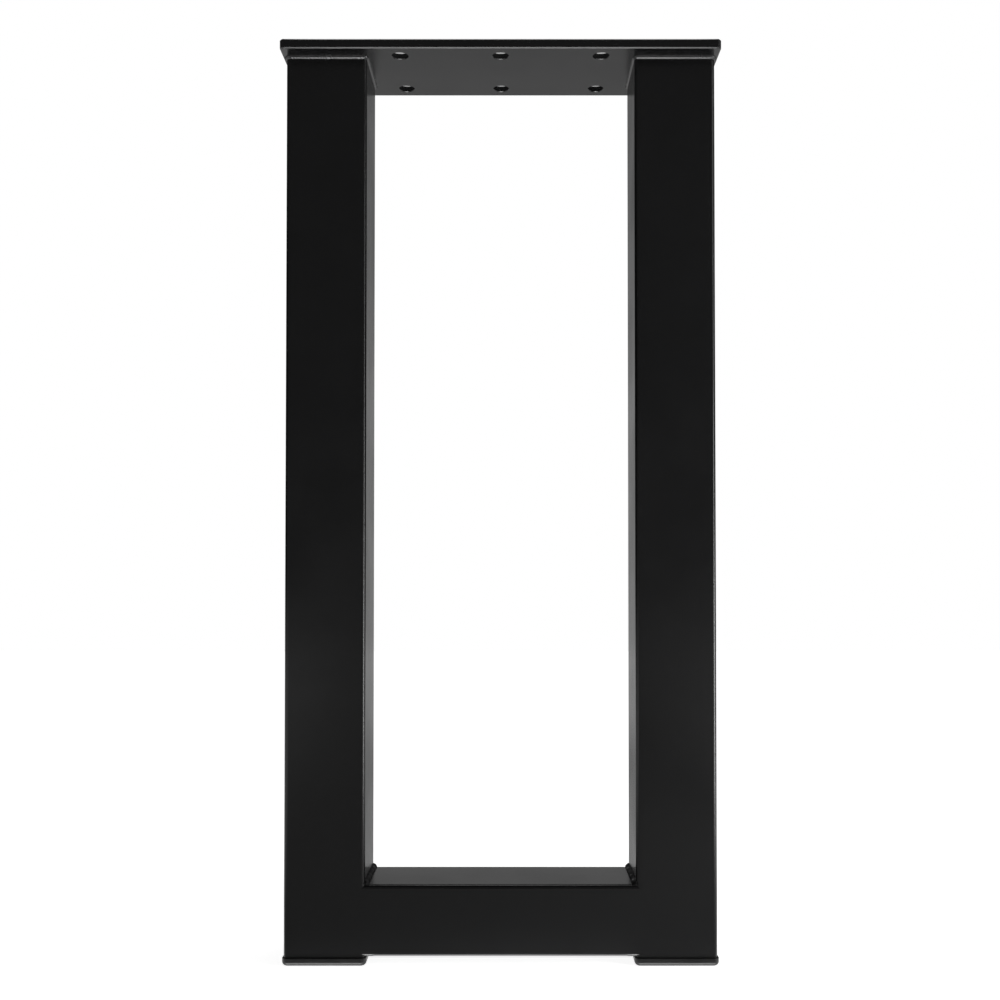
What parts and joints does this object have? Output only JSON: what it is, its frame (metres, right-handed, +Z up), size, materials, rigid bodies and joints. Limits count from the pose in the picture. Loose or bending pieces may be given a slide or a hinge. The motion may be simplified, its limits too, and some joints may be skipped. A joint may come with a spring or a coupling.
{
  "type": "u shaped table leg",
  "caption": "Welded steel U-shaped table leg: drilled mounting plate on top, square-tube uprights, a crossbar low between them, and plastic foot caps.",
  "frame": {"origin": "on the floor, under the middle of the leg", "axes": "+X along the leg's width, +Y from the front to the rear, +Z up to the table top"},
  "size_m": [0.3444, 0.096, 0.722],
  "materials": {
    "powder_coated_steel": "satin black powder coat",
    "foot_plastic": "moulded black plastic"
  },
  "bodies": {
    "root": {"mounting_plate": "powder_coated_steel", "left_upright": "powder_coated_steel", "right_upright": "powder_coated_steel", "crossbar": "powder_coated_steel", "left_plate_weld": "powder_coated_steel", "right_plate_weld": "powder_coated_steel", "left_crossbar_weld": "powder_coated_steel", "right_crossbar_weld": "powder_coated_steel", "left_foot_cap": "foot_plastic", "right_foot_cap": "foot_plastic"}
  },
  "joints": []
}
